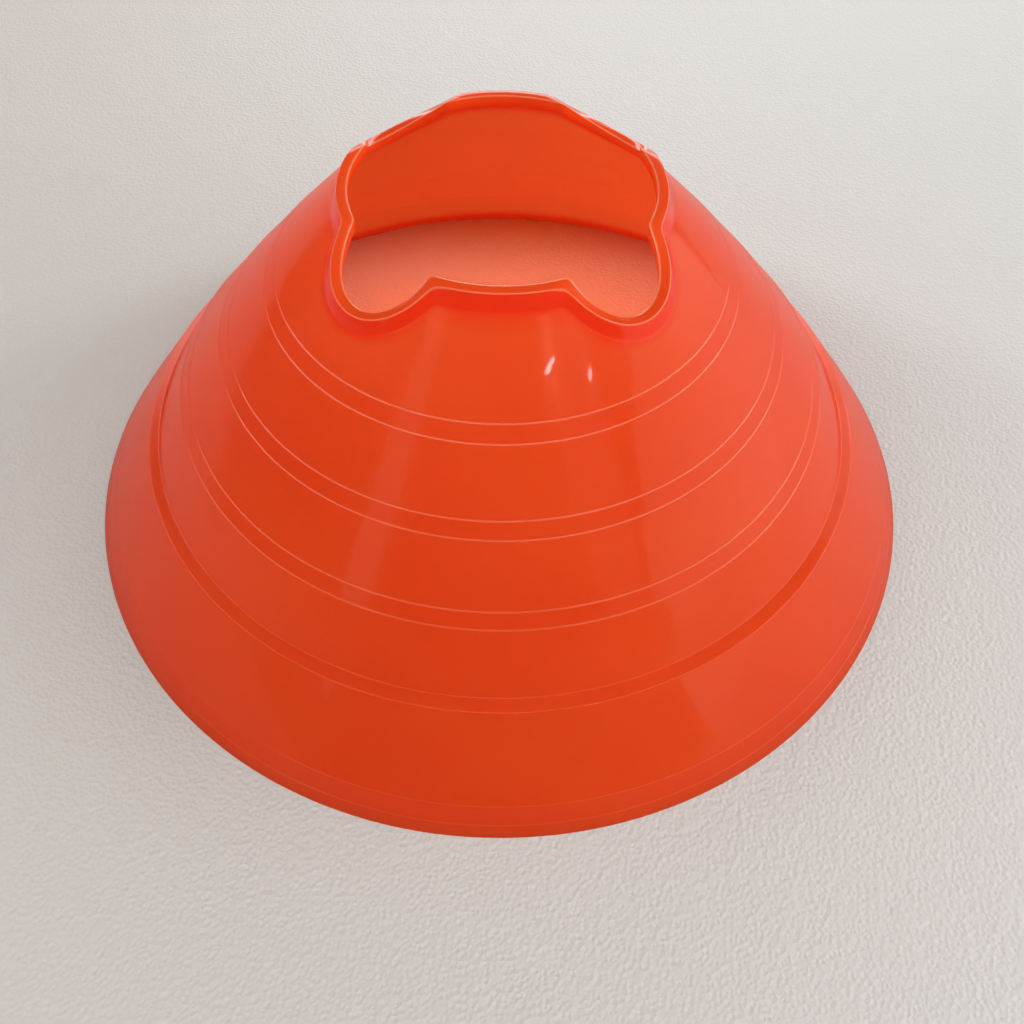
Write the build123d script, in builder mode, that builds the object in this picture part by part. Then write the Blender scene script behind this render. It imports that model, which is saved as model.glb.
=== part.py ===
from build123d import *
import os
from math import acos, atan2, cos, degrees, hypot, sin

# A low marker cone: one thin moulding, divided at the lines round it into solids that meet face to face.
# The axis is Z, the ground is z = 0 and the pole notches lie on the diagonals. All sizes are in millimetres.

# Overall form
height = 82.8  # ground to the top of the tongues
base_radius = 100.0  # outer edge of the foot
opening_radius = 30.0  # axis to the inner edge of a tongue
wall = 1.3  # thickness of the moulding, square to its slope
bulge = 3.0  # swell of the wall past a straight line, measured level, halfway up

# Lip round the opening
lip_width = 3.6  # from the opening to the lip's outer face
lip_bevel = 1.1  # bevel of the lip's outer top edge
notch_count = 4  # pole notches, evenly spaced
notch_angle = 45.0  # direction of the first notch
notch_radius = 10.6  # half the width of a notch, seen from above
notch_reach = 7.6  # how far a notch opens outward past the tongues
notch_drop = 8.6  # how far the floor of a notch lies below the tongues
tongue_round = 1.0  # rounding of a tongue's corners, seen from above

# Raised ring bands on the wall
ring_count = 3  # evenly spaced from the shelf up to the top ring
ring_height = 2.7  # of one band, measured upright
ring_proud = 0.35  # how far a band stands out, measured level
top_ring_drop = 19.2  # top of the tongues to the middle of the top ring

# Shelf and foot
shelf_low = 22.5  # ground to the outer corner of the shelf
shelf_rise = 1.2  # slope of the shelf's top, measured upright
shelf_depth = 1.75  # how far the wall steps in above the shelf
hem_low = 2.4  # ground to the lower edge of the hem ring
hem_height = 3.5  # of the hem ring, measured upright

slope = atan2(height, base_radius - opening_radius)
wall_level = wall / sin(slope)
shelf_top = shelf_low + shelf_rise
hem_top = hem_low + hem_height
top_ring_middle = height - top_ring_drop
ring_spacing = (top_ring_middle - shelf_top) / ring_count
ring_lows = [shelf_top + ring_spacing * (step + 1) - ring_height / 2 for step in range(ring_count)]
crown_low = ring_lows[-1] + ring_height


def wall_radius(z):
    """Outer radius of the plain wall at a height: a straight slope with a gentle swell."""
    rise = z / height
    return base_radius + (opening_radius - base_radius) * rise + 4 * bulge * rise * (1 - rise)


# The crown is straight, from the top ring to the inner edge of the tongues, and is cut off above them
crown_lean = (wall_radius(crown_low) - opening_radius) / (height - crown_low)
crown_high = height + lip_width


def crown_radius(z):
    """Outer radius of the straight crown at a height."""
    return opening_radius + crown_lean * (height - z)


def ring_outline(low, high):
    """Outer corners of a raised ring band, from its lower edge to its upper edge."""
    return [
        (wall_radius(low), low),
        (wall_radius(low) + ring_proud, low),
        (wall_radius(high) + ring_proud, high),
        (wall_radius(high), high),
    ]


# The moulding's section, drawn once: outside from the foot up, then inside from the crown down
outer_line = [(base_radius, 0)]
outer_line += ring_outline(hem_low, hem_top)
outer_line += [(wall_radius(shelf_low), shelf_low), (wall_radius(shelf_top) - shelf_depth, shelf_top)]
for ring_low in ring_lows:
    outer_line += ring_outline(ring_low, ring_low + ring_height)
outer_line += [(crown_radius(crown_high), crown_high)]

inner_line = [(crown_radius(crown_high) - wall_level, crown_high)]
inner_line += [(wall_radius(crown_low) - wall_level, crown_low)]
inner_line += [(wall_radius(low) - wall_level, low) for low in reversed(ring_lows)]
inner_line += [
    (wall_radius(shelf_top) - shelf_depth - wall_level, shelf_top - wall),
    (wall_radius(shelf_low) - wall_level, shelf_low - wall),
    (base_radius - wall_level, 0),
]

with BuildSketch() as section:
    with BuildLine():
        Polyline(*outer_line, *inner_line, close=True)
    make_face()

# Plan of the opening: a round hole with a round notch towards each pole, and a lip of one width round both
notch_centre = opening_radius + notch_reach - notch_radius
notch_places = PolarLocations(notch_centre, notch_count, start_angle=notch_angle)
lip_radius = opening_radius + lip_width
bead_radius = notch_radius + lip_width

with BuildSketch() as opening:
    Circle(opening_radius)
    with notch_places:
        Circle(notch_radius)
    fillet(opening.vertices(), radius=tongue_round)

with BuildSketch() as lip_outline:
    Circle(lip_radius)
    with notch_places:
        Circle(bead_radius)


def finish(piece, label):
    """Names a finished solid and writes its file."""
    piece.part.label = label
    export_step(piece.part, f"parts/{label}.step")


def section_slice(low, high):
    """The moulding's section between two heights."""
    with BuildSketch(Plane.XZ) as cut:
        add(section.sketch)
        with Locations((0, low)):
            Rectangle(3 * base_radius, high - low, align=(Align.CENTER, Align.MIN), mode=Mode.INTERSECT)
    return cut.sketch


def wall_band(label, low, high):
    """One full turn of the moulding between two heights."""
    with BuildPart() as band:
        add(section_slice(low, high))
        revolve(axis=Axis.Z)
    finish(band, label)


os.makedirs("parts", exist_ok=True)

# Bands from the ground up
wall_band("foot_edge", 0, hem_low)
wall_band("hem_ring", hem_low, hem_top)
wall_band("skirt_wall", hem_top, shelf_low)
wall_band("stacking_shelf", shelf_low, shelf_top)
band_low = shelf_top
for number, ring_low in enumerate(ring_lows, start=1):
    wall_band(f"wall_band_{number}", band_low, ring_low)
    band_low = ring_low + ring_height
    wall_band(f"ring_band_{number}", ring_low, band_low)

# Crown between the top ring and the outer face of the lip
with BuildPart() as crown_wall:
    add(section_slice(crown_low, crown_high))
    revolve(axis=Axis.Z)
    with BuildSketch(Plane.XY.offset(crown_low)):
        add(lip_outline.sketch)
    extrude(amount=crown_high - crown_low, mode=Mode.SUBTRACT)
finish(crown_wall, "crown_wall")

# Lip: its top is level across its width, flat on the tongues and dipping to the floor of each notch
notch_floor = height - notch_drop
notch_corner = acos(
    (opening_radius**2 - notch_centre**2 - notch_radius**2) / (2 * notch_centre * notch_radius)
)
notch_dip = notch_drop / (1 - cos(notch_corner))
notch_sweep = (degrees(notch_corner) + 180) / 2
notch_turns = [notch_angle + turn * 360 / notch_count for turn in range(notch_count)]


def dip_line(turn, radius, fall=0):
    """Arc round a notch's centre that sinks to the notch's floor, or lower by a fall, on its own tilted plane."""
    outward = Vector(1, 0, 0).rotate(Axis.Z, turn)
    sideways = Vector(0, 1, 0).rotate(Axis.Z, turn)
    centre = outward * notch_centre + Vector(0, 0, notch_floor + notch_dip - fall)
    downhill = outward * radius - Vector(0, 0, notch_dip)
    tilted = Plane(origin=centre, x_dir=downhill, z_dir=downhill.cross(sideways))
    with BuildLine(tilted) as arc:
        EllipticalCenterArc(
            (0, 0), hypot(radius, notch_dip), radius, start_angle=-notch_sweep, arc_size=2 * notch_sweep
        )
    return arc.edge()


def dip_face(turn, near_radius, far_radius, fall=0):
    """Ruled face between two arcs round a notch, level where the far one has no fall."""
    return Face.make_surface_from_curves(dip_line(turn, near_radius), dip_line(turn, far_radius, fall))


bead_tops = [dip_face(turn, notch_radius / 2, bead_radius + lip_width) for turn in notch_turns]
bead_bevels = [
    dip_face(turn, bead_radius - lip_bevel, bead_radius + lip_bevel, 2 * lip_bevel) for turn in notch_turns
]

# Bead round each notch, bevelled along its own dip
with BuildPart() as beads:
    with BuildSketch(Plane.XY.offset(crown_low)):
        with notch_places:
            Circle(bead_radius)
    extrude(amount=height - crown_low)
    for bevel in bead_bevels:
        extrude(bevel, amount=2 * notch_drop, dir=(0, 0, 1), mode=Mode.SUBTRACT)

with BuildPart() as rim_lip:
    with BuildSketch(Plane.XZ):
        with BuildLine():
            Polyline(
                (0, crown_low),
                (lip_radius, crown_low),
                (lip_radius, height - lip_bevel),
                (lip_radius - lip_bevel, height),
                (0, height),
                close=True,
            )
        make_face()
    revolve(axis=Axis.Z)
    add(beads.part)
    for top in bead_tops:
        extrude(top, amount=2 * notch_drop, dir=(0, 0, 1), mode=Mode.SUBTRACT)
    with BuildSketch(Plane.XY.offset(crown_low)):
        add(opening.sketch)
    extrude(amount=height - crown_low, mode=Mode.SUBTRACT)
    with BuildSketch(Plane.XZ):
        with BuildLine():
            Polyline(
                (0, crown_low),
                (crown_radius(crown_low) - wall_level, crown_low),
                (crown_radius(crown_high) - wall_level, crown_high),
                (0, crown_high),
                close=True,
            )
        make_face()
    revolve(axis=Axis.Z, mode=Mode.SUBTRACT)
finish(rim_lip, "rim_lip")
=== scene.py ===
import math
from collections import namedtuple

import bpy
from mathutils import Matrix, Vector


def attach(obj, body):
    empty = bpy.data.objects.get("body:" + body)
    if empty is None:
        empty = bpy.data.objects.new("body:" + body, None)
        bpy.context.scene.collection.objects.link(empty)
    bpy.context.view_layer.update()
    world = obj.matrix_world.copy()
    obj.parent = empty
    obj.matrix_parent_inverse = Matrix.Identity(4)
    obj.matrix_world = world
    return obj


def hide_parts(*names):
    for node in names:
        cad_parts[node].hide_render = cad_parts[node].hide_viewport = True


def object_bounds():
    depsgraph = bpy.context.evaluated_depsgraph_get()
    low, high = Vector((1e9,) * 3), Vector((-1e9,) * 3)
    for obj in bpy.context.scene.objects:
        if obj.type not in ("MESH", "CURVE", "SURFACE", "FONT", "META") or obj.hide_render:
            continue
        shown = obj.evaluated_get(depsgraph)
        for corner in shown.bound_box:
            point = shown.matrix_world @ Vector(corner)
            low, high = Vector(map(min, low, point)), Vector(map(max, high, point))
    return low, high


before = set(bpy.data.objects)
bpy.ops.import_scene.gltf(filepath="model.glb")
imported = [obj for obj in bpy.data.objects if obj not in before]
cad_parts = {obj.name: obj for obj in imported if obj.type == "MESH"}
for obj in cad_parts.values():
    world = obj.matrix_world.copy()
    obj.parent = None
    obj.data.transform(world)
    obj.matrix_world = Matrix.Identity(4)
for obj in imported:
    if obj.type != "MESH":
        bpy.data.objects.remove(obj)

# Looks of a low marker cone: one thin moulding in translucent orange plastic, with a notched lip, raised ring
# bands, a stacking shelf and a hem, standing on a pale floor. Lengths are in metres, the axis is Z.

bl_info = {
    "name": "Marker Cone",
    "version": (1, 0, 0),
    "blender": (4, 5, 0),
    "location": "3D View > Sidebar > Marker Cone",
    "description": "Builds a low marker cone with a notched lip and raised rings, and a plain stage for it",
    "category": "Object",
}

CAD_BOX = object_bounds()
MM = 0.001

# Section: regions, shares of painted highlight and of thickness with painted shade, and the fine bends between
# its stretches
LIP, OUTSIDE, INSIDE = 0.0, 1.0, 2.0
# Shares of a paler colour painted as highlight along the ledges, the lip's bevel and its inner edge
LEDGE_HIGHLIGHT, BEVEL_HIGHLIGHT, EDGE_HIGHLIGHT = 0.25, 0.55, 1.0
# Painted shade on the ring bands and on the shelf's slope
BAND_SHADE, SHELF_SHADE = 0.12, 0.12
# Painted shade near the ground, on the outside and in the crease inside
FOOT_SHADE_OUTSIDE, FOOT_SHADE_INSIDE = 0.2, 1.0
FOOT_SHADE_FROM = 8 * MM  # below this height the plastic is painted darker as shade
FOOT_SHADE_FADE = 5 * MM  # and over this much height it gets as dark as it will
FOOT_BEND = 0.25 * MM
LEDGE_BEND = 0.06 * MM
LIP_BEND = 0.05 * MM
INNER_CROWN_BEND, INNER_RING_BEND = 0.5 * MM, 0.6 * MM
INNER_FOOT_BEND, INNER_EDGE_BEND = 0.3 * MM, 0.2 * MM
INNER_SHELF_SHARE = 0.8  # of the shelf's rounding, on the inside
LIP_EDGE_SLOPE = math.tan(math.radians(12))
LONG_STRETCH = 2 * MM  # a stretch longer than this gets two more rows
NEAR_END = 0.4 * MM  # distance of those rows from its ends
CROWN_SEAM = 1.0 * MM  # distance above the top ring at which the crown starts to follow the notches
CROWN_PARTS = (0.0, 0.12, 0.26, 0.4, 0.55, 0.7, 0.85)  # places of the crown's rows, seam to lip
# The hollow at the lip's foot starts with this much painted shade
HOLLOW_STEPS, HOLLOW_SHADE = 6, 0.35
FACE_START = 0.14  # part of the lip's outer face that the hollow at its foot takes up
FACE_PARTS = (0.4, 0.7, 0.9, 0.985)
BEVEL_PARTS = (0.85, 0.5, 0.15)

# Mesh: share of the columns that lies round a notch, distance at which points are joined, angle of a crisp edge
NOTCH_SHARE = 0.62
JOIN_DISTANCE = 0.002 * MM
SHARP_EDGE = math.radians(40)

# Stage: floor, lamps and room
FLOOR_HALF = 1.1
LAMP_AIM = (0.0, -0.03, 0.06)
LAMP_DISTANCE = 1.2
WINDOW_SCALES = (1.0, 0.72, 0.45)
# Each lamp: name, degrees to the right of the front, degrees up, width and height, power
SOFT_WINDOWS = (
    ("left_strip", -42, 26, (0.2, 1.1), 0.5),
    ("right_window", 38, 30, (0.4, 0.8), 0.35),
    ("side_window", 88, 9, (2.2, 1.0), 6.6),
)
PLAIN_LAMPS = (
    ("back_window", 176, 17, (1.1, 0.26), 3.6),
    ("small_lamp", 48.5, 35.5, (0.045, 0.012), 0.08),
    ("small_tube", 28.5, 40.5, (0.11, 0.008), 0.2),
)
INNER_GLOW_PLACES = ((-0.042, 0.028, 0.05), (0.042, 0.028, 0.05), (0.0, 0.045, 0.045))
INNER_GLOW_TINT = (1.0, 0.16, 0.0)
INNER_GLOW_SPREAD, INNER_GLOW_POWER = 112, 0.06
ROOM_LIGHT, DIM_ROOM_LIGHT = 5.6, 2.4
ROOM_BAND_LEAN = 0.55  # how much lower the band of light lies at the back than in front
WARM, PLAIN = (1.0, 0.82, 0.64), (1.0, 0.995, 0.985)
ROOM_STOPS = (
    (0.0, 0.07, WARM),
    (0.38, 0.07, WARM),
    (0.44, 1.0, PLAIN),
    (0.55, 1.0, PLAIN),
    (0.61, 0.04, PLAIN),
    (1.0, 0.03, PLAIN),
)

# Camera at the photograph's viewing angle
CAMERA_PLACE = (0.0026, -0.1671, 0.2003)
CAMERA_YAW = math.radians(0.17)
CAMERA_PITCH = math.radians(53.38)
CAMERA_ROLL = math.radians(1.15)
CAMERA_LENS, CAMERA_SENSOR = 35.16, 36.0


def length(name, description, millimetres):
    """A length that the user can change, given in millimetres and kept in metres."""
    return bpy.props.FloatProperty(
        name=name, description=description, default=millimetres * MM, min=0.0, precision=5, unit="LENGTH"
    )


def slant(name, description, degrees):
    """An angle that the user can change, given in degrees."""
    return bpy.props.FloatProperty(
        name=name, description=description, default=math.radians(degrees), subtype="ANGLE"
    )


def colour(name, description, value):
    """A colour that the user can change."""
    return bpy.props.FloatVectorProperty(
        name=name, description=description, default=value, size=3, min=0.0, max=1.0, subtype="COLOR"
    )


def share(name, description, value):
    """A number from nought to one that the user can change."""
    return bpy.props.FloatProperty(
        name=name, description=description, default=value, min=0.0, max=1.0, subtype="FACTOR"
    )


class MarkerConeSizes(bpy.types.PropertyGroup):
    """Sizes of the moulding."""

    height: bpy.props.FloatProperty(
        name="Height", description="Ground to the top of the tongues", default=CAD_BOX[1][2], min=0.01,
        unit="LENGTH",
    )
    base_radius: bpy.props.FloatProperty(
        name="Base radius", description="Axis to the outer edge of the foot", default=CAD_BOX[1][0], min=0.01,
        unit="LENGTH",
    )
    opening_radius: length("Opening radius", "Axis to the inner edge of a tongue", 30.0)
    wall: length("Wall", "Thickness of the moulding, square to its slope", 1.3)
    bulge: length("Bulge", "Swell of the wall halfway up, measured level", 3.0)
    lip_width: length("Lip width", "From the opening to the foot of the lip's outer face", 3.6)
    lip_top: length("Lip top", "Width of the lip's flat top", 2.1)
    lip_bevel: length("Lip bevel", "Width of the fine bevel along the lip's outer top edge", 0.34)
    lip_bevel_tilt: slant("Lip bevel tilt", "Angle of the fine bevel below the lip's top", 42.5)
    lip_edge: length("Lip edge", "Width of the gently sloped inner edge of the lip's top", 0.4)
    lip_foot: length("Lip foot", "Hollow where the lip's outer face meets the crown", 0.5)
    lip_hang: length("Lip hang", "How far the lip's inner edge hangs below the inside of the crown", 0.6)
    notch_count: bpy.props.IntProperty(
        name="Notches", description="Pole notches, evenly spaced", default=4, min=1, max=12
    )
    notch_angle: slant("Notch angle", "Direction of the first notch", 45.0)
    notch_radius: length("Notch radius", "Half the width of a notch, seen from above", 10.6)
    notch_reach: length("Notch reach", "How far a notch opens outward past the tongues", 7.6)
    notch_drop: length("Notch drop", "How far the floor of a notch lies below the tongues", 8.6)
    tongue_round: length("Tongue rounding", "Softening of a tongue's corners, seen from above", 2.0)
    crease_round: length("Crease rounding", "Softening of the edge where the lip starts to dip", 0.9)
    ring_count: bpy.props.IntProperty(
        name="Rings", description="Raised ring bands above the shelf", default=3, min=1, max=8
    )
    ring_height: length("Ring height", "Height of one ring band", 2.7)
    ring_step: length("Ring step", "How far a ring band's lower edge stands out, measured level", 0.1)
    ledge: length("Ledge", "Width of the fine ledge along each edge of a ring band", 0.38)
    ledge_tilt_high: slant("Ledge tilt at the top", "How much more a top ledge faces up than the wall", 8.0)
    ledge_tilt_low: slant("Ledge tilt at the ground", "How much more a low ledge faces up than the wall", 27.0)
    top_ring_drop: length("Top ring drop", "Top of the tongues to the middle of the top ring", 19.2)
    shelf_low: length("Shelf height", "Ground to the outer corner of the shelf", 22.5)
    shelf_rise: length("Shelf rise", "Slope of the shelf's top, measured upright", 1.2)
    shelf_depth: length("Shelf depth", "How far the wall steps in above the shelf", 1.75)
    shelf_round: length("Shelf rounding", "Half the length of the soft bend at the shelf's corners", 0.14)
    hem_low: length("Hem start", "Ground to the lower edge of the hem ring", 2.4)
    hem_height: length("Hem height", "Height of the hem ring", 3.5)
    hem_ledge: length("Hem ledge", "Width of the fine ledge along each edge of the hem ring", 0.14)
    columns: bpy.props.IntProperty(
        name="Columns", description="Mesh columns round each notch", default=128, min=24, max=400
    )


class MarkerConeFinish(bpy.types.PropertyGroup):
    """Colours and finish of the plastic."""

    plastic: colour("Plastic", "Main colour of the plastic", (0.91, 0.108, 0.016))
    plastic_deep: colour("Deep plastic", "Colour where the pigment is denser", (0.86, 0.082, 0.012))
    # Deeper red where the plastic is thick, and painted as shade on the lip's face, under the lip, in its
    # hollow and on the bands
    thick_and_shaded_plastic: colour("Thick and shaded plastic", "Colour of the thick lip and foot", (0.92, 0.04, 0.006))
    # Painted highlight: a paler colour on the fine ledges and edges
    highlight_plastic: colour("Highlight plastic", "Colour of fine edges that get rubbed", (0.95, 0.32, 0.16))
    glow: colour("Glow", "Colour of light that comes through the wall", (0.95, 0.34, 0.15))
    # Light through the thick lip, also deeper red where shade is painted
    thick_and_shaded_glow: colour("Thick and shaded glow", "Colour of light that comes through lip and foot", (0.9, 0.1, 0.03))
    wall_glow: share("Wall glow", "Share of the light that passes the outside of the wall", 0.55)
    inside_glow: share("Inside glow", "Share of the light that passes the inside of the wall", 0.85)
    lip_glow: share("Lip glow", "Share of the light that passes the thick lip", 0.45)
    gloss_low: share("Smooth roughness", "Roughness of the most polished patches", 0.14)
    gloss_high: share("Worn roughness", "Roughness of the handled patches", 0.24)
    gloss: share("Gloss", "Strength of the soft reflections in the plastic itself", 0.42)
    polish: share("Polish", "Strength of the thin mirror-like surface over the plastic", 0.35)


class MarkerConeStage(bpy.types.PropertyGroup):
    """Floor and light."""

    # Painted shade: the floor goes from its shade colour on the -X side to its plain colour on the +X side
    floor: colour("Floor", "Colour of the floor on the brighter side", (0.67, 0.67, 0.66))
    floor_shade: colour("Floor shade", "Colour of the floor on the duller side", (0.61, 0.575, 0.54))


# A corner of the section, half the length of its soft bend, and the painted highlight and the thickness with
# painted shade of the stretch after it
Corner = namedtuple("Corner", "place half wear thick", defaults=(0.0, 0.0))

# A row of points round the axis. A plain row lies at its radius and height. A rim row has rim at 1 and lies on
# the crown's cone, skin inside it: follow is the share of the notched plan in its radius, reach is its distance
# outward from the opening, rise is its share of the way up to the lip's top, and lift is an extra height.
ROW_PARTS = ("follow", "reach", "rise", "lift", "skin", "rim", "region", "thick", "wear")
Row = namedtuple("Row", ("radius", "height", *ROW_PARTS), defaults=(0.0,) * (2 + len(ROW_PARTS)))


class Moulding:
    """The marker's section, worked out from its sizes, as rows that are turned round the axis."""

    def __init__(self, sizes):
        self.sizes = sizes
        self.slope = math.atan2(sizes.height, sizes.base_radius - sizes.opening_radius)
        self.wall_level = sizes.wall / math.sin(self.slope)
        self.shelf_top = sizes.shelf_low + sizes.shelf_rise
        self.hem_top = sizes.hem_low + sizes.hem_height
        top_middle = sizes.height - sizes.top_ring_drop
        spacing = (top_middle - self.shelf_top) / sizes.ring_count
        self.ring_lows = [
            self.shelf_top + spacing * (step + 1) - sizes.ring_height / 2 for step in range(sizes.ring_count)
        ]
        self.crown_low = self.ring_lows[-1] + sizes.ring_height
        self.crown_lean = (self.wall_radius(self.crown_low) - sizes.opening_radius) / (
            sizes.height - self.crown_low
        )
        self.notch_centre = sizes.opening_radius + sizes.notch_reach - sizes.notch_radius
        self.notch_floor = sizes.height - sizes.notch_drop
        corner_cosine = (
            sizes.opening_radius**2 - self.notch_centre**2 - sizes.notch_radius**2
        ) / (2 * self.notch_centre * sizes.notch_radius)
        self.notch_corner = math.acos(corner_cosine)
        self.notch_dip = sizes.notch_drop / (1 - corner_cosine)
        self.crown_seam = self.crown_low + CROWN_SEAM

    def wall_radius(self, z):
        """Outer radius of the plain wall at a height."""
        sizes = self.sizes
        rise = z / sizes.height
        straight = sizes.base_radius + (sizes.opening_radius - sizes.base_radius) * rise
        return straight + 4 * sizes.bulge * rise * (1 - rise)

    def wall_slope(self, z):
        """Angle of the plain wall above level at a height."""
        step = 0.5 * MM
        return math.atan2(2 * step, self.wall_radius(z - step) - self.wall_radius(z + step))

    def outside(self, z):
        """Point on the outside of the plain wall at a height, with the step in above the shelf."""
        radius = self.wall_radius(z)
        first_ring = self.ring_lows[0]
        if self.shelf_top <= z < first_ring:
            radius -= self.sizes.shelf_depth * (first_ring - z) / (first_ring - self.shelf_top)
        if z >= self.crown_low:
            radius = self.sizes.opening_radius + self.crown_lean * (self.sizes.height - z)
        return radius, z

    def inside(self, z):
        """Point on the inside of the wall that belongs to a height on the outside."""
        sizes = self.sizes
        radius = self.outside(z)[0] - self.wall_level
        first_ring = self.ring_lows[0]
        drop = 0.0
        if z <= sizes.shelf_low:
            drop = sizes.wall * z / sizes.shelf_low
        elif z <= self.shelf_top:
            drop = sizes.wall
        elif z < first_ring:
            drop = sizes.wall * (first_ring - z) / (first_ring - self.shelf_top)
        return radius, z - drop


def soft_corner(before, corner, after, half, steps):
    """Points round a corner of the section: a soft bend that starts half its length before the corner."""
    before, corner, after = Vector(before), Vector(corner), Vector(after)
    start = corner + (before - corner).normalized() * half
    end = corner + (after - corner).normalized() * half
    points = []
    for step in range(steps + 1):
        part = step / steps
        points.append(start * (1 - part) ** 2 + corner * (2 * part * (1 - part)) + end * part**2)
    return points


def soft_line(corners, steps=3):
    """Points along a line of corners, as (radius, height, painted highlight, thickness with painted shade),
    with two more in a long stretch.
    """
    line = []
    for before, corner, after in zip(corners, corners[1:], corners[2:]):
        bend = soft_corner(before.place, corner.place, after.place, corner.half, steps)
        if line:
            last = Vector(line[-1][:2])
            run = bend[0] - last
            if run.length > LONG_STRETCH:
                run = run.normalized() * NEAR_END
                line += [(*place, before.wear, before.thick) for place in (last + run, bend[0] - run)]
        for step, point in enumerate(bend):
            part = step / steps
            wear = before.wear + (corner.wear - before.wear) * part
            line.append((*point, wear, before.thick + (corner.thick - before.thick) * part))
    return line


def ledge_corners(moulding, place, width, thick):
    """Two corners of a fine ledge that faces up more than the wall, and the painted shade of the stretch above
    it.
    """
    sizes = moulding.sizes
    start = Vector(place)
    rise = start.y / (sizes.height - sizes.top_ring_drop)
    tilt = sizes.ledge_tilt_low + (sizes.ledge_tilt_high - sizes.ledge_tilt_low) * rise
    lean = moulding.wall_slope(start.y) - tilt
    end = start + Vector((-math.cos(lean), math.sin(lean))) * width
    return [Corner(start, LEDGE_BEND, LEDGE_HIGHLIGHT), Corner(end, LEDGE_BEND, thick=thick)]


def outer_rows(moulding):
    """Rows up the outside, from the foot to just above the top ring."""
    sizes = moulding.sizes
    corners = [Corner(moulding.inside(0), 0), Corner(moulding.outside(0), FOOT_BEND)]
    # The hem band gets painted shade, and its ledges a painted highlight
    for height, thick in ((sizes.hem_low, BAND_SHADE), (moulding.hem_top, 0.0)):
        corners += ledge_corners(moulding, moulding.outside(height), sizes.hem_ledge, thick)
    # The shelf's slope gets painted shade
    corners += [
        Corner(moulding.outside(sizes.shelf_low), sizes.shelf_round, thick=SHELF_SHADE),
        Corner(moulding.outside(moulding.shelf_top), sizes.shelf_round),
    ]
    # Each ring band gets painted shade, and its ledges a painted highlight
    for low in moulding.ring_lows:
        radius, height = moulding.outside(low)
        corners += ledge_corners(moulding, (radius + sizes.ring_step, height), sizes.ledge, BAND_SHADE)
        corners += ledge_corners(moulding, moulding.outside(low + sizes.ring_height), sizes.ledge, 0.0)
    corners.append(Corner(moulding.outside(moulding.crown_seam), 0))
    return plain_rows(soft_line(corners), OUTSIDE)


def inner_rows(moulding):
    """Rows down the inside, from just above the top ring to the foot."""
    sizes = moulding.sizes
    corners = [Corner(moulding.inside(moulding.crown_seam), 0)]
    corners += [Corner(moulding.inside(moulding.crown_low), INNER_CROWN_BEND)]
    corners += [Corner(moulding.inside(low), INNER_RING_BEND) for low in reversed(moulding.ring_lows)]
    corners += [
        Corner(moulding.inside(moulding.shelf_top), sizes.shelf_round * INNER_SHELF_SHARE),
        Corner(moulding.inside(sizes.shelf_low), sizes.shelf_round * INNER_SHELF_SHARE),
        Corner(moulding.inside(FOOT_SHADE_FROM), INNER_FOOT_BEND),
        Corner(moulding.inside(FOOT_SHADE_FROM - FOOT_SHADE_FADE), INNER_FOOT_BEND),
        Corner(moulding.inside(0), INNER_EDGE_BEND),
        Corner(moulding.outside(0), 0),
    ]
    return plain_rows(soft_line(corners), INSIDE)


def plain_rows(points, region):
    """Rows that are turned round the axis as they are, painted darker near the ground as shade."""
    rows = []
    most = FOOT_SHADE_INSIDE if region == INSIDE else FOOT_SHADE_OUTSIDE
    for radius, height, wear, thick in points:
        near_ground = min(max((FOOT_SHADE_FROM - height) / FOOT_SHADE_FADE, 0.0), 1.0)
        rows.append(Row(radius, height, region=region, thick=max(thick, near_ground * most), wear=wear))
    return rows


def crown_rows(moulding, skin):
    """Rows of the straight crown, from a circle above the top ring to the foot of the lip."""
    height = moulding.crown_seam
    reach = moulding.sizes.lip_width + moulding.sizes.lip_foot
    radius = moulding.outside(height)[0] - skin
    region = INSIDE if skin else OUTSIDE
    return [
        Row(radius, height, follow=part, reach=reach, skin=skin, rim=1.0, region=region) for part in CROWN_PARTS
    ]


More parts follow.
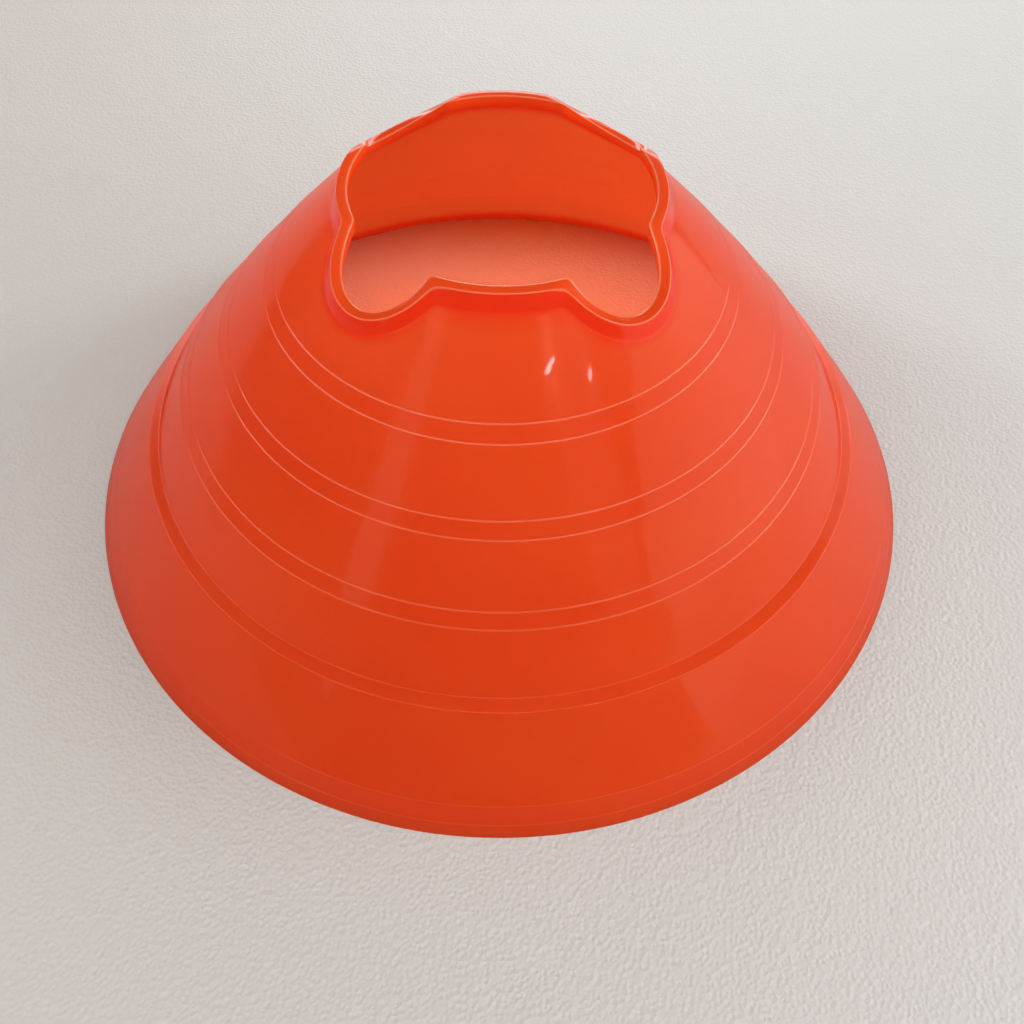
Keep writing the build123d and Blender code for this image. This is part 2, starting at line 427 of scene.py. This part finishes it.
def lip_rows(moulding):
    """Rows of the lip: up its drafted outer face, over its flat top, down its inner edge and under it."""
    sizes = moulding.sizes
    width = sizes.lip_width
    top = sizes.lip_top
    foot = sizes.lip_foot
    edge = sizes.lip_edge
    hang = sizes.lip_hang
    lean = moulding.crown_lean
    skin = moulding.wall_level
    bevel_in = sizes.lip_bevel * math.cos(sizes.lip_bevel_tilt)
    bevel_down = sizes.lip_bevel * math.sin(sizes.lip_bevel_tilt)
    bend = LIP_BEND

    def rim(reach, rise, lift, skin=0.0, region=LIP, thick=1.0, wear=0.0):
        """A row that follows the notches."""
        return Row(
            follow=1.0, reach=reach, rise=rise, lift=lift, skin=skin, rim=1.0,
            region=region, thick=thick, wear=wear,
        )

    def on_face(part):
        """Reach, rise and lift part of the way up the drafted outer face."""
        reach = width + (top + bevel_in - width) * part
        return reach, 1.0 - width * (1.0 - part) / reach, -bevel_down * part

    # Hollow at the foot, outer face and fine bevel: the face is painted deep red for its thickness and as
    # shade, the bevel gets a paler painted highlight
    rows = []
    face_reach, face_rise, face_lift = on_face(FACE_START)
    for step in range(HOLLOW_STEPS + 1):
        part = step / HOLLOW_STEPS
        reach = (width + foot) * (1 - part) ** 2 + width * 2 * part * (1 - part) + face_reach * part**2
        region = OUTSIDE if part < 0.5 else LIP
        thick = HOLLOW_SHADE + (1 - HOLLOW_SHADE) * part
        rows.append(rim(reach, face_rise * part**2, face_lift * part**2, region=region, thick=thick))
    rows += [rim(*on_face(part)) for part in FACE_PARTS]
    for part in BEVEL_PARTS:
        rows.append(rim(top + bevel_in * part, 1.0, -bevel_down * part, thick=part * 0.5, wear=BEVEL_HIGHLIGHT))

    # Flat top and its gently sloped inner edge: the top is left plain, lighter than the shaded face, and the
    # edge gets a painted highlight
    rows += [rim(reach, 1.0, 0.0, thick=0.0) for reach in (top - bend, top / 2, edge + bend)]
    for reach in (edge - bend, 2 * bend):
        rows.append(rim(reach, 1.0, (reach - edge) * LIP_EDGE_SLOPE, thick=0.0, wear=EDGE_HIGHLIGHT))

    # Inner face, the part that hangs, and the way back to the inside of the crown, with painted shade under the
    # lip that fades down the crown
    low = -edge * LIP_EDGE_SLOPE
    rows += [
        rim(0.4 * bend, 1.0, low - 0.4 * bend, thick=0.0, wear=EDGE_HIGHLIGHT),
        rim(0.0, 1.0, low - 3 * bend, thick=0.1),
        rim(0.0, 0.4, low, skin, thick=0.15),
        rim(0.0, 0.0, 0.2 * MM - hang, skin, thick=0.5),
        rim(0.06 * MM, 0.0, 0.06 * MM - hang + 0.06 * MM / lean, skin),
        rim(0.2 * MM, 0.0, 0.2 * MM / lean - hang, skin),
        rim(hang * lean * 0.8, 0.0, -hang * 0.2, skin, INSIDE, 0.8),
        rim(hang * lean * 1.3, 0.0, 0.0, skin, INSIDE, 0.6),
        rim(width * 0.5, 0.0, 0.0, skin, INSIDE, 0.25),
        rim(width + foot, 0.0, 0.0, skin, INSIDE, 0.0),
    ]
    return rows


def section_rows(moulding):
    """The whole closed section: up the outside, over the lip and down the inside."""
    skin = moulding.wall_level
    rows = outer_rows(moulding) + crown_rows(moulding, 0.0) + lip_rows(moulding)
    return rows + list(reversed(crown_rows(moulding, skin))) + inner_rows(moulding)


class Sum:
    """A number that differs from point to point, written with plain signs and kept as Math nodes."""

    def __init__(self, tree, socket):
        self.tree = tree
        self.socket = socket

    def __add__(self, other):
        return step_of("ADD", self, other)

    def __sub__(self, other):
        return step_of("SUBTRACT", self, other)

    def __mul__(self, other):
        return step_of("MULTIPLY", self, other)

    def __truediv__(self, other):
        return step_of("DIVIDE", self, other)


def step_of(operation, first, *others):
    """One Math node, fed with sums or plain numbers."""
    values = (first, *others)
    tree = next(value.tree for value in values if isinstance(value, Sum))
    node = tree.nodes.new("ShaderNodeMath")
    node.operation = operation
    for slot, value in zip(node.inputs, values):
        if isinstance(value, Sum):
            tree.links.new(value.socket, slot)
        else:
            slot.default_value = value
    return Sum(tree, node.outputs[0])


def mixed(start, end, part):
    """A value part of the way from a start to an end."""
    return step_of("MULTIPLY_ADD", end - start, part, start)


TURN_SIZES = (
    "Height",
    "Opening Radius",
    "Crown Lean",
    "Notch Count",
    "Notch Angle",
    "Notch Radius",
    "Notch Centre",
    "Notch Floor",
    "Notch Dip",
    "Notch Corner",
    "Tongue Rounding",
    "Crease Rounding",
)
REGION_TESTS = (("Outside", None, 0.0), ("Lip", "LESS_THAN", 0.6), ("Inside", "GREATER_THAN", 1.6))


def turned_moulding_tree():
    """Node tree that turns a closed section round the axis and lets its rim rows follow the notches."""
    tree = bpy.data.node_groups.new("Turned Moulding", "GeometryNodeTree")
    face = tree.interface
    face.new_socket("Section", in_out="INPUT", socket_type="NodeSocketGeometry")
    face.new_socket("Columns", in_out="INPUT", socket_type="NodeSocketInt")
    for name in TURN_SIZES:
        face.new_socket(name, in_out="INPUT", socket_type="NodeSocketFloat")
    for name, _test, _limit in REGION_TESTS:
        face.new_socket(name, in_out="INPUT", socket_type="NodeSocketMaterial")
    face.new_socket("Moulding", in_out="OUTPUT", socket_type="NodeSocketGeometry")
    nodes = tree.nodes
    links = tree.links
    given = nodes.new("NodeGroupInput")
    size = {name: Sum(tree, given.outputs[name]) for name in (*TURN_SIZES, "Columns")}

    # A grid with one line of points for each section row and column, both ends doubled so that it closes
    count = nodes.new("GeometryNodeAttributeDomainSize")
    count.component = "MESH"
    links.new(given.outputs["Section"], count.inputs["Geometry"])
    row_count = Sum(tree, count.outputs["Point Count"])
    column_count = size["Columns"] * size["Notch Count"]
    rows_across = row_count + 1.0
    grid = nodes.new("GeometryNodeMeshGrid")
    links.new((column_count + 1.0).socket, grid.inputs["Vertices X"])
    links.new(rows_across.socket, grid.inputs["Vertices Y"])
    index = Sum(tree, nodes.new("GeometryNodeInputIndex").outputs["Index"])
    column = step_of("FLOOR", (index + 0.5) / rows_across)
    row = step_of("FLOORED_MODULO", index - column * rows_across + 0.25, row_count)
    row = step_of("FLOOR", row)
    column = step_of("FLOOR", step_of("FLOORED_MODULO", column + 0.25, column_count))

    def sampled(kind, socket):
        node = nodes.new("GeometryNodeSampleIndex")
        node.data_type = kind
        links.new(given.outputs["Section"], node.inputs["Geometry"])
        links.new(socket, node.inputs["Value"])
        links.new(row.socket, node.inputs["Index"])
        return node.outputs["Value"]

    place = nodes.new("ShaderNodeSeparateXYZ")
    links.new(sampled("FLOAT_VECTOR", nodes.new("GeometryNodeInputPosition").outputs[0]), place.inputs[0])
    section_radius = Sum(tree, place.outputs["X"])
    section_height = Sum(tree, place.outputs["Z"])
    part = {}
    for name in ROW_PARTS:
        named = nodes.new("GeometryNodeInputNamedAttribute")
        named.data_type = "FLOAT"
        named.inputs["Name"].default_value = name
        part[name] = Sum(tree, sampled("FLOAT", named.outputs["Attribute"]))

    # Direction of the column, measured from the nearest notch: columns lie close together round a notch
    sector = step_of("FLOOR", (column + 0.5) / size["Columns"])
    side = (column - sector * size["Columns"]) / size["Columns"] * 2.0 - 1.0
    offset = step_of("ABSOLUTE", side)
    ring = size["Notch Radius"]
    half_sector = step_of("DIVIDE", math.pi, size["Notch Count"])

    def seen_from_axis(angle):
        across = step_of("SINE", angle) * ring
        along = step_of("COSINE", angle) * ring + size["Notch Centre"]
        return step_of("ARCTAN2", across, along)

    near = seen_from_axis(step_of("MINIMUM", offset / NOTCH_SHARE, 1.0) * size["Notch Corner"])
    far = step_of("MAXIMUM", offset - NOTCH_SHARE, 0.0) / (1.0 - NOTCH_SHARE)
    turn = (near + far * (half_sector - seen_from_axis(size["Notch Corner"]))) * step_of("SIGN", side)
    sine = step_of("SINE", turn)
    cosine = step_of("COSINE", turn)

    # Plan of the opening at the row's reach: the wider of the hole and the notch, softened where they meet
    centre = size["Notch Centre"]
    notch = ring + part["reach"]
    chord = step_of("MAXIMUM", notch * notch - centre * sine * centre * sine, 0.0)
    notch_radius = centre * cosine + step_of("SQRT", chord)
    rim_radius = step_of(
        "SMOOTH_MAX", size["Opening Radius"] + part["reach"], notch_radius, size["Tongue Rounding"]
    )
    radius = mixed(section_radius, rim_radius, part["follow"])

    # Height: on the crown's cone, or on the lip's top, which dips round a notch
    along = radius * cosine - centre
    across = radius * sine
    away = step_of("SQRT", along * along + across * across)
    dipped = size["Notch Floor"] + size["Notch Dip"] * step_of("SUBTRACT", 1.0, along / away)
    top = step_of("SMOOTH_MIN", size["Height"], dipped, size["Crease Rounding"])
    cone = size["Height"] - (radius + part["skin"] - size["Opening Radius"]) / size["Crown Lean"]
    rim_height = mixed(cone, top, part["rise"]) + part["lift"]
    height = mixed(section_height, rim_height, part["rim"])

    direction = turn + size["Notch Angle"] + sector * half_sector * 2.0
    point = nodes.new("ShaderNodeCombineXYZ")
    links.new((radius * step_of("COSINE", direction)).socket, point.inputs["X"])
    links.new((radius * step_of("SINE", direction)).socket, point.inputs["Y"])
    links.new(height.socket, point.inputs["Z"])
    kept = nodes.new("GeometryNodeCaptureAttribute")
    links.new(grid.outputs["Mesh"], kept.inputs["Geometry"])
    for name in ("region", "thick", "wear"):
        kept.capture_items.new("FLOAT", name)
        links.new(part[name].socket, kept.inputs[name])
    moved = nodes.new("GeometryNodeSetPosition")
    links.new(kept.outputs["Geometry"], moved.inputs["Geometry"])
    links.new(point.outputs[0], moved.inputs["Position"])

    shell = moved.outputs["Geometry"]
    # The thickness with painted shade, and the painted highlight, are kept on the points for the materials
    for name in ("thick", "wear"):
        noted = nodes.new("GeometryNodeStoreNamedAttribute")
        noted.data_type = "FLOAT"
        noted.domain = "POINT"
        noted.inputs["Name"].default_value = name
        links.new(shell, noted.inputs["Geometry"])
        links.new(kept.outputs[name], noted.inputs["Value"])
        shell = noted.outputs["Geometry"]

    # The doubled ends are joined, and edges that turn sharply stay crisp
    joined = nodes.new("GeometryNodeMergeByDistance")
    joined.inputs["Distance"].default_value = JOIN_DISTANCE
    links.new(shell, joined.inputs["Geometry"])
    angle = nodes.new("GeometryNodeInputMeshEdgeAngle")
    gentle = nodes.new("FunctionNodeCompare")
    gentle.operation = "LESS_THAN"
    links.new(angle.outputs["Unsigned Angle"], gentle.inputs[0])
    gentle.inputs[1].default_value = SHARP_EDGE
    smooth_edges = nodes.new("GeometryNodeSetShadeSmooth")
    smooth_edges.domain = "EDGE"
    links.new(joined.outputs["Geometry"], smooth_edges.inputs["Geometry"])
    links.new(gentle.outputs["Result"], smooth_edges.inputs["Shade Smooth"])
    smooth = nodes.new("GeometryNodeSetShadeSmooth")
    smooth.domain = "FACE"
    links.new(smooth_edges.outputs["Geometry"], smooth.inputs["Geometry"])
    real = nodes.new("GeometryNodeRealizeInstances")
    links.new(smooth.outputs["Geometry"], real.inputs["Geometry"])
    shell = real.outputs["Geometry"]
    for name, test, limit in REGION_TESTS:
        finish = nodes.new("GeometryNodeSetMaterial")
        links.new(shell, finish.inputs["Geometry"])
        links.new(given.outputs[name], finish.inputs["Material"])
        if test:
            chosen = nodes.new("FunctionNodeCompare")
            chosen.operation = test
            links.new(kept.outputs["region"], chosen.inputs[0])
            chosen.inputs[1].default_value = limit
            links.new(chosen.outputs["Result"], finish.inputs["Selection"])
        shell = finish.outputs["Geometry"]
    result = nodes.new("NodeGroupOutput")
    links.new(shell, result.inputs["Moulding"])
    return tree


def turned_moulding(name, moulding):
    """Makes the finished moulding from the rows of its closed section."""
    sizes = moulding.sizes
    finish = bpy.context.scene.marker_cone_finish
    rows = section_rows(moulding)
    section = bpy.data.meshes.new(name + "_section")
    section.from_pydata(
        [(row.radius, 0.0, row.height) for row in rows],
        [(number, (number + 1) % len(rows)) for number in range(len(rows))],
        [],
    )
    for part in ROW_PARTS:
        layer = section.attributes.new(part, "FLOAT", "POINT")
        layer.data.foreach_set("value", [getattr(row, part) for row in rows])
    piece = bpy.data.objects.new(name, section)
    bpy.context.scene.collection.objects.link(piece)
    tree = turned_moulding_tree()
    modifier = piece.modifiers.new("Turned Moulding", "NODES")
    modifier.node_group = tree
    values = {
        "Columns": sizes.columns,
        "Height": sizes.height,
        "Opening Radius": sizes.opening_radius,
        "Crown Lean": moulding.crown_lean,
        "Notch Count": float(sizes.notch_count),
        "Notch Angle": sizes.notch_angle,
        "Notch Radius": sizes.notch_radius,
        "Notch Centre": moulding.notch_centre,
        "Notch Floor": moulding.notch_floor,
        "Notch Dip": moulding.notch_dip,
        "Notch Corner": moulding.notch_corner,
        "Tongue Rounding": sizes.tongue_round,
        "Crease Rounding": sizes.crease_round,
        "Outside": orange_plastic("orange_plastic_wall", finish.wall_glow),
        "Lip": orange_plastic("orange_plastic_lip", finish.lip_glow),
        "Inside": orange_plastic("orange_plastic_inside", finish.inside_glow),
    }
    for item in tree.interface.items_tree:
        if item.in_out == "INPUT" and item.name in values:
            modifier[item.identifier] = values[item.name]
    shaped = piece.evaluated_get(bpy.context.evaluated_depsgraph_get())
    mesh = bpy.data.meshes.new_from_object(shaped)
    if len(mesh.polygons) != len(rows) * sizes.columns * sizes.notch_count:
        raise RuntimeError(f"{name}: the section was not turned into a closed shell")
    mesh.materials.pop(index=0)  # the grid's own empty slot
    piece.modifiers.remove(modifier)
    piece.data = mesh
    mesh.name = name
    bpy.data.meshes.remove(section)
    return piece


def linked(tree, kind, **inputs):
    """A new node whose named inputs are set, or linked where an output is given."""
    node = tree.nodes.new(kind)
    for name, value in inputs.items():
        slot = node.inputs[name.replace("_", " ")]
        if isinstance(value, bpy.types.NodeSocket):
            tree.links.new(value, slot)
        else:
            slot.default_value = value
    return node


def tinted(tree, part, first, second):
    """Colour output of a mix from a first to a second colour, each plain or from a node."""
    mix = tree.nodes.new("ShaderNodeMix")
    mix.data_type = "RGBA"
    tree.links.new(part, mix.inputs[0])
    for slot, value in zip([slot for slot in mix.inputs if slot.type == "RGBA"], (first, second)):
        if isinstance(value, bpy.types.NodeSocket):
            tree.links.new(value, slot)
        else:
            slot.default_value = (*value, 1)
    return next(socket for socket in mix.outputs if socket.type == "RGBA")


def spread(tree, value, low, high, bottom=0.0, top=1.0):
    """A value stretched from one range to another, held at its ends."""
    node = linked(tree, "ShaderNodeMapRange", Value=value)
    for name, number in zip(("From Min", "From Max", "To Min", "To Max"), (low, high, bottom, top)):
        node.inputs[name].default_value = number
    return node.outputs["Result"]


def orange_plastic(name, glow_share):
    """Glossy translucent polyethylene: slightly uneven pigment, handled gloss and a faint moulded ripple,
    deeper red where thick and where shade is painted, with paler painted highlights on fine edges.
    """
    finish = bpy.context.scene.marker_cone_finish
    material = bpy.data.materials.new(name)
    material.use_nodes = True
    tree = material.node_tree
    tree.nodes.clear()
    where = tree.nodes.new("ShaderNodeTexCoord").outputs["Object"]
    cloud = linked(tree, "ShaderNodeTexNoise", Vector=where, Scale=26.0, Detail=4.0, Roughness=0.6)
    pigment = tinted(tree, spread(tree, cloud.outputs["Fac"], 0.3, 0.7), finish.plastic_deep, finish.plastic)
    # Deeper red where the plastic is thick and where shade is painted
    thick = tree.nodes.new("ShaderNodeAttribute")
    thick.attribute_name = "thick"
    pigment = tinted(tree, thick.outputs["Fac"], pigment, finish.thick_and_shaded_plastic)
    # A paler colour painted on fine edges as highlight
    wear = tree.nodes.new("ShaderNodeAttribute")
    wear.attribute_name = "wear"
    pigment = tinted(tree, wear.outputs["Fac"], pigment, finish.highlight_plastic)
    handled = linked(tree, "ShaderNodeTexNoise", Vector=where, Scale=60.0, Detail=5.0, Roughness=0.65)
    rough = spread(tree, handled.outputs["Fac"], 0.35, 0.7, finish.gloss_low, finish.gloss_high)
    ripple = linked(tree, "ShaderNodeTexNoise", Vector=where, Scale=320.0, Detail=3.0, Roughness=0.5)
    bump = linked(tree, "ShaderNodeBump", Height=ripple.outputs["Fac"], Strength=0.1, Distance=0.1 * MM)
    skin = linked(
        tree,
        "ShaderNodeBsdfPrincipled",
        Base_Color=pigment,
        Roughness=rough,
        Normal=bump.outputs["Normal"],
        IOR=1.5,
        Specular_IOR_Level=finish.gloss,
        Specular_Tint=(1.0, 0.66, 0.4, 1.0),
        Coat_Weight=finish.polish,
        Coat_Roughness=0.03,
    )
    # The light through the wall is deeper red where thick and where shade is painted
    glow = tinted(tree, thick.outputs["Fac"], finish.glow, finish.thick_and_shaded_glow)
    through = linked(tree, "ShaderNodeBsdfTranslucent", Color=glow, Normal=bump.outputs["Normal"])
    both = tree.nodes.new("ShaderNodeMixShader")
    both.inputs["Fac"].default_value = glow_share
    tree.links.new(skin.outputs[0], both.inputs[1])
    tree.links.new(through.outputs[0], both.inputs[2])
    out = tree.nodes.new("ShaderNodeOutputMaterial")
    tree.links.new(both.outputs[0], out.inputs["Surface"])
    return material


class MARKER_OT_moulding(bpy.types.Operator):
    """Build the moulding: its wall with rings, shelf and hem, and the notched lip round its opening"""

    bl_idname = "marker.build_moulding"
    bl_label = "Build moulding"

    def execute(self, context):
        moulding = Moulding(context.scene.marker_cone_sizes)
        piece = turned_moulding("marker_moulding", moulding)
        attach(piece, "root")
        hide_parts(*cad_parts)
        return {"FINISHED"}


def grained_floor():
    """Pale warm grey with a fine leather-like grain, and painted shade: darker and warmer towards -X."""
    stage = bpy.context.scene.marker_cone_stage
    material = bpy.data.materials.new("grained_floor")
    material.use_nodes = True
    tree = material.node_tree
    tree.nodes.clear()
    where = tree.nodes.new("ShaderNodeTexCoord").outputs["Object"]
    pebbles = linked(tree, "ShaderNodeTexVoronoi", Vector=where, Scale=1000.0)
    side = linked(tree, "ShaderNodeSeparateXYZ", Vector=where)
    # Painted shade: darker and warmer towards -X
    painted_shade_tone = tinted(tree, spread(tree, side.outputs["X"], -0.25, 0.3), stage.floor_shade, stage.floor)
    bump = linked(tree, "ShaderNodeBump", Height=pebbles.outputs["Distance"], Strength=0.5, Distance=0.4 * MM)
    skin = linked(
        tree, "ShaderNodeBsdfPrincipled", Base_Color=painted_shade_tone, Normal=bump.outputs["Normal"], Roughness=0.5
    )
    out = tree.nodes.new("ShaderNodeOutputMaterial")
    tree.links.new(skin.outputs[0], out.inputs["Surface"])
    return material


def soft_room():
    """World light: a dim warm room with one tilted band of soft light, high in front and low at the back."""
    world = bpy.data.worlds.new("soft_room")
    world.use_nodes = True
    tree = world.node_tree
    where = tree.nodes.new("ShaderNodeTexCoord").outputs["Generated"]
    split = linked(tree, "ShaderNodeSeparateXYZ", Vector=where)
    tilted = tree.nodes.new("ShaderNodeMath")
    tilted.operation = "MULTIPLY_ADD"
    tree.links.new(split.outputs["Y"], tilted.inputs[0])
    tilted.inputs[1].default_value = ROOM_BAND_LEAN
    tree.links.new(split.outputs["Z"], tilted.inputs[2])
    band = linked(tree, "ShaderNodeValToRGB", Fac=tilted.outputs[0])
    band.color_ramp.interpolation = "EASE"
    stops = band.color_ramp.elements
    for place, level, tint in ROOM_STOPS:
        stop = stops[0] if place == 0.0 else stops[-1] if place == 1.0 else stops.new(place)
        stop.position = place
        stop.color = (*(level * part for part in tint), 1)

    # The room is dimmer at the back's sides, where the shelf would mirror it
    backdrop = tree.nodes["Background"]
    tree.links.new(band.outputs["Color"], backdrop.inputs["Color"])
    strength = tree.nodes.new("ShaderNodeMath")
    strength.operation = "MAXIMUM"
    back = split.outputs["Y"]
    tree.links.new(spread(tree, back, 0.28, 0.36, ROOM_LIGHT, DIM_ROOM_LIGHT), strength.inputs[0])
    tree.links.new(spread(tree, back, 0.82, 0.88, DIM_ROOM_LIGHT, ROOM_LIGHT), strength.inputs[1])
    tree.links.new(strength.outputs[0], backdrop.inputs["Strength"])
    return world


def lamp_towards(name, turn, lift, size, power):
    """A flat oval lamp that faces the marker from a direction: degrees to the right of the front, and up."""
    light = bpy.data.lights.new(name, "AREA")
    light.shape = "ELLIPSE"
    light.size, light.size_y = size
    light.energy = power
    lamp = bpy.data.objects.new(name, light)
    turn, lift = math.radians(turn), math.radians(lift)
    level = math.cos(lift)
    direction = Vector((math.sin(turn) * level, -math.cos(turn) * level, math.sin(lift)))
    lamp.location = Vector(LAMP_AIM) + direction * LAMP_DISTANCE
    lamp.rotation_euler = direction.to_track_quat("Z", "Y").to_euler()
    lamp.visible_camera = False
    bpy.context.scene.collection.objects.link(lamp)


def soft_window(name, turn, lift, size, power):
    """Oval lamps inside one another, so that the light fades towards its edge."""
    for number, scale in enumerate(WINDOW_SCALES, start=1):
        lamp_towards(f"{name}_{number}", turn, lift, (size[0] * scale, size[1] * scale), power * scale**2)


def lamp_down(name, place, spread_angle, tint, power):
    """A small round lamp that shines straight down in a soft-edged cone."""
    light = bpy.data.lights.new(name, "SPOT")
    light.shadow_soft_size = 0.01
    light.spot_size = math.radians(spread_angle)
    light.spot_blend = 0.4
    light.color = tint
    light.energy = power
    lamp = bpy.data.objects.new(name, light)
    lamp.location = place
    lamp.visible_camera = False
    lamp.visible_glossy = False
    bpy.context.scene.collection.objects.link(lamp)


def photo_camera():
    """Camera that looks down on the marker from the front."""
    slope = math.cos(CAMERA_PITCH)
    ahead = Vector((math.sin(CAMERA_YAW) * slope, math.cos(CAMERA_YAW) * slope, -math.sin(CAMERA_PITCH)))
    level = Vector((math.cos(CAMERA_YAW), -math.sin(CAMERA_YAW), 0))
    upright = level.cross(ahead)
    right = level * math.cos(CAMERA_ROLL) + upright * math.sin(CAMERA_ROLL)
    up = upright * math.cos(CAMERA_ROLL) - level * math.sin(CAMERA_ROLL)
    lens = bpy.data.cameras.new("camera")
    lens.lens = CAMERA_LENS
    lens.sensor_width = CAMERA_SENSOR
    lens.clip_start = 0.01
    camera = bpy.data.objects.new("camera", lens)
    turned = Matrix((right, up, -ahead)).transposed()
    camera.matrix_world = Matrix.LocRotScale(Vector(CAMERA_PLACE), turned, None)
    bpy.context.scene.collection.objects.link(camera)
    return camera


class MARKER_OT_stage(bpy.types.Operator):
    """Build the floor, the soft light and the camera"""

    bl_idname = "marker.build_stage"
    bl_label = "Build stage"

    def execute(self, context):
        scene = context.scene
        half = FLOOR_HALF
        mesh = bpy.data.meshes.new("floor")
        corners = [(-half, -half, 0), (half, -half, 0), (half, half, 0), (-half, half, 0)]
        mesh.from_pydata(corners, [], [(0, 1, 2, 3)])
        mesh.materials.append(grained_floor())
        floor = bpy.data.objects.new("floor", mesh)
        scene.collection.objects.link(floor)

        scene.world = soft_room()
        for window in SOFT_WINDOWS:
            soft_window(*window)
        for lamp in PLAIN_LAMPS:
            lamp_towards(*lamp)
        for number, place in enumerate(INNER_GLOW_PLACES, start=1):
            lamp_down(f"inner_glow_{number}", place, INNER_GLOW_SPREAD, INNER_GLOW_TINT, INNER_GLOW_POWER)

        scene.camera = photo_camera()
        scene.view_settings.view_transform = "Standard"
        return {"FINISHED"}


class MARKER_PT_panel(bpy.types.Panel):
    """Buttons that build the marker, and its sizes and colours"""

    bl_idname = "MARKER_PT_panel"
    bl_label = "Marker Cone"
    bl_space_type = "VIEW_3D"
    bl_region_type = "UI"
    bl_category = "Marker Cone"

    def draw(self, context):
        scene = context.scene
        for operator in OPERATORS:
            self.layout.operator(operator.bl_idname)
        for group in (scene.marker_cone_sizes, scene.marker_cone_finish, scene.marker_cone_stage):
            column = self.layout.column(align=True)
            for name in group.__annotations__:
                column.prop(group, name)


OPERATORS = (MARKER_OT_moulding, MARKER_OT_stage)
GROUPS = {
    "marker_cone_sizes": MarkerConeSizes,
    "marker_cone_finish": MarkerConeFinish,
    "marker_cone_stage": MarkerConeStage,
}


def register():
    for name, group in GROUPS.items():
        bpy.utils.register_class(group)
        setattr(bpy.types.Scene, name, bpy.props.PointerProperty(type=group))
    for operator in OPERATORS:
        bpy.utils.register_class(operator)
    bpy.utils.register_class(MARKER_PT_panel)


def unregister():
    bpy.utils.unregister_class(MARKER_PT_panel)
    for operator in reversed(OPERATORS):
        bpy.utils.unregister_class(operator)
    for name, group in reversed(GROUPS.items()):
        delattr(bpy.types.Scene, name)
        bpy.utils.unregister_class(group)


def main():
    register()
    bpy.ops.marker.build_moulding()
    bpy.ops.marker.build_stage()


if __name__ == "__main__":
    main()
